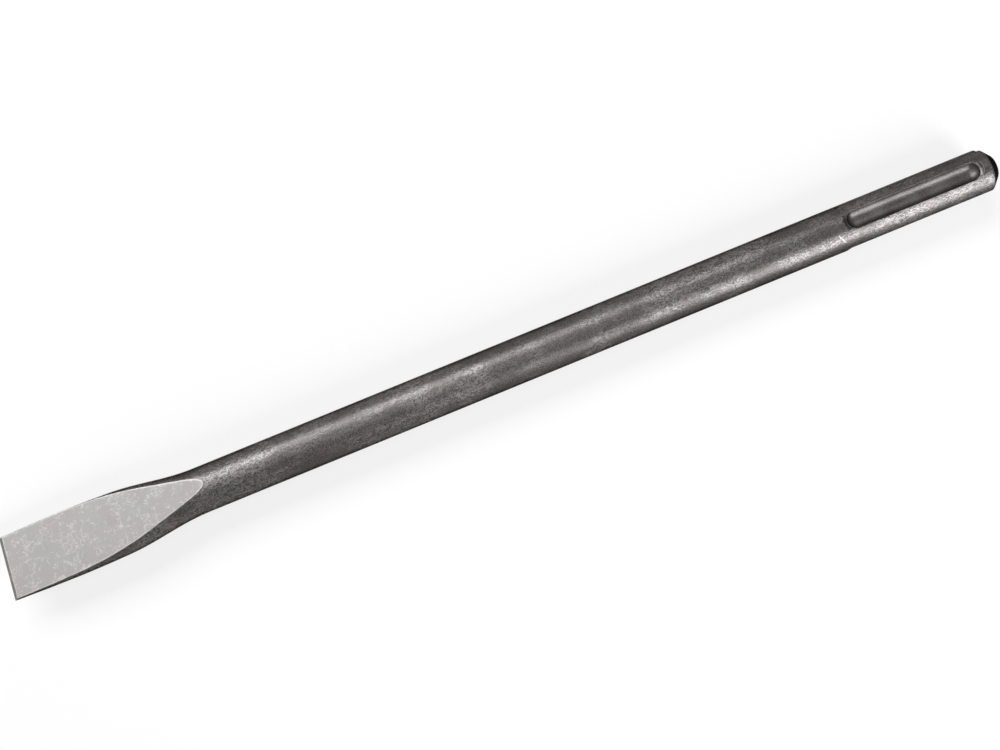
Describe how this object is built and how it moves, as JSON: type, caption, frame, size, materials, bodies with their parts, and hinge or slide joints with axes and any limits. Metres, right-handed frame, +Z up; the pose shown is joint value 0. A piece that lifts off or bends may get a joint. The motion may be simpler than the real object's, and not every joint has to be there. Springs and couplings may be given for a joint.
{
  "type": "sds flat chisel",
  "caption": "One-piece forged steel flat chisel for a demolition hammer: round bar, wedge blade and a slotted shank with locking and driving grooves.",
  "frame": {"origin": "centre of the chisel's footprint, on the surface it lies on", "axes": "+X along the bar from the cutting edge to the struck end, +Z up, lying as it comes to rest: on the bar, rolled 22 degrees until the edge of one flat is at the ground"},
  "size_m": [0.414, 0.0258, 0.018],
  "materials": {
    "forged_steel": "forged and blasted dark grey steel with paler ground flats, fine scratches and scuffs"
  },
  "bodies": {
    "root": {"flat_chisel": "forged_steel"}
  },
  "joints": []
}
